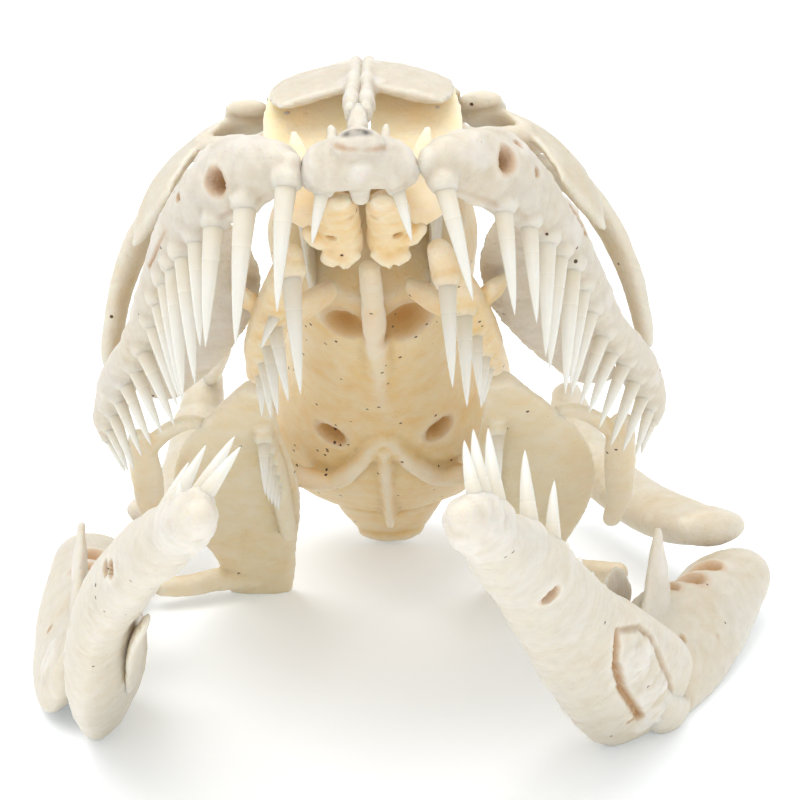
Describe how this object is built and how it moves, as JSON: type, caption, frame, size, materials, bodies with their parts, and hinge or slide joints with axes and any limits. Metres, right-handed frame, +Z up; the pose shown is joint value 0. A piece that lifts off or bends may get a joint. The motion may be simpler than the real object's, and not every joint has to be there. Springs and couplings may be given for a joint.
{
  "type": "snake skull",
  "caption": "Cleaned python skull resting on its bent lower jaws with the mouth agape and the snout raised, recurved teeth on the jaws and the palate.",
  "frame": {"origin": "on the floor, under the middle of the skull's bounding box", "axes": "+Z up from the floor, -Y the way the snout points, +X to the animal's own left"},
  "size_m": [0.0346, 0.0508, 0.0291],
  "materials": {
    "skull_bone": "dry cleaned bone, pale cream, satin",
    "palate_bone": "dry cleaned bone, honey coloured, satin",
    "jaw_bone": "dry cleaned bone, pale ivory, satin"
  },
  "bodies": {
    "root": {"angular_left": "jaw_bone", "angular_right": "jaw_bone", "braincase": "palate_bone", "compound_left": "jaw_bone", "compound_right": "jaw_bone", "coronoid_left": "jaw_bone", "coronoid_right": "jaw_bone", "dentary_left": "jaw_bone", "dentary_right": "jaw_bone", "ectopterygoid_left": "palate_bone", "ectopterygoid_right": "palate_bone", "frontal_left": "skull_bone", "frontal_right": "skull_bone", "maxilla_left": "skull_bone", "maxilla_right": "skull_bone", "nasal_left": "skull_bone", "nasal_right": "skull_bone", "palatine_left": "palate_bone", "palatine_right": "palate_bone", "postorbital_left": "skull_bone", "postorbital_right": "skull_bone", "prefrontal_left": "skull_bone", "prefrontal_right": "skull_bone", "premaxilla": "skull_bone", "pterygoid_left": "palate_bone", "pterygoid_right": "palate_bone", "quadrate_left": "skull_bone", "quadrate_right": "skull_bone", "septomaxilla_left": "palate_bone", "septomaxilla_right": "palate_bone", "splenial_left": "jaw_bone", "splenial_right": "jaw_bone", "supraorbital_left": "skull_bone", "supraorbital_right": "skull_bone", "supratemporal_left": "skull_bone", "supratemporal_right": "skull_bone", "vomer_left": "palate_bone", "vomer_right": "palate_bone"}
  },
  "joints": []
}
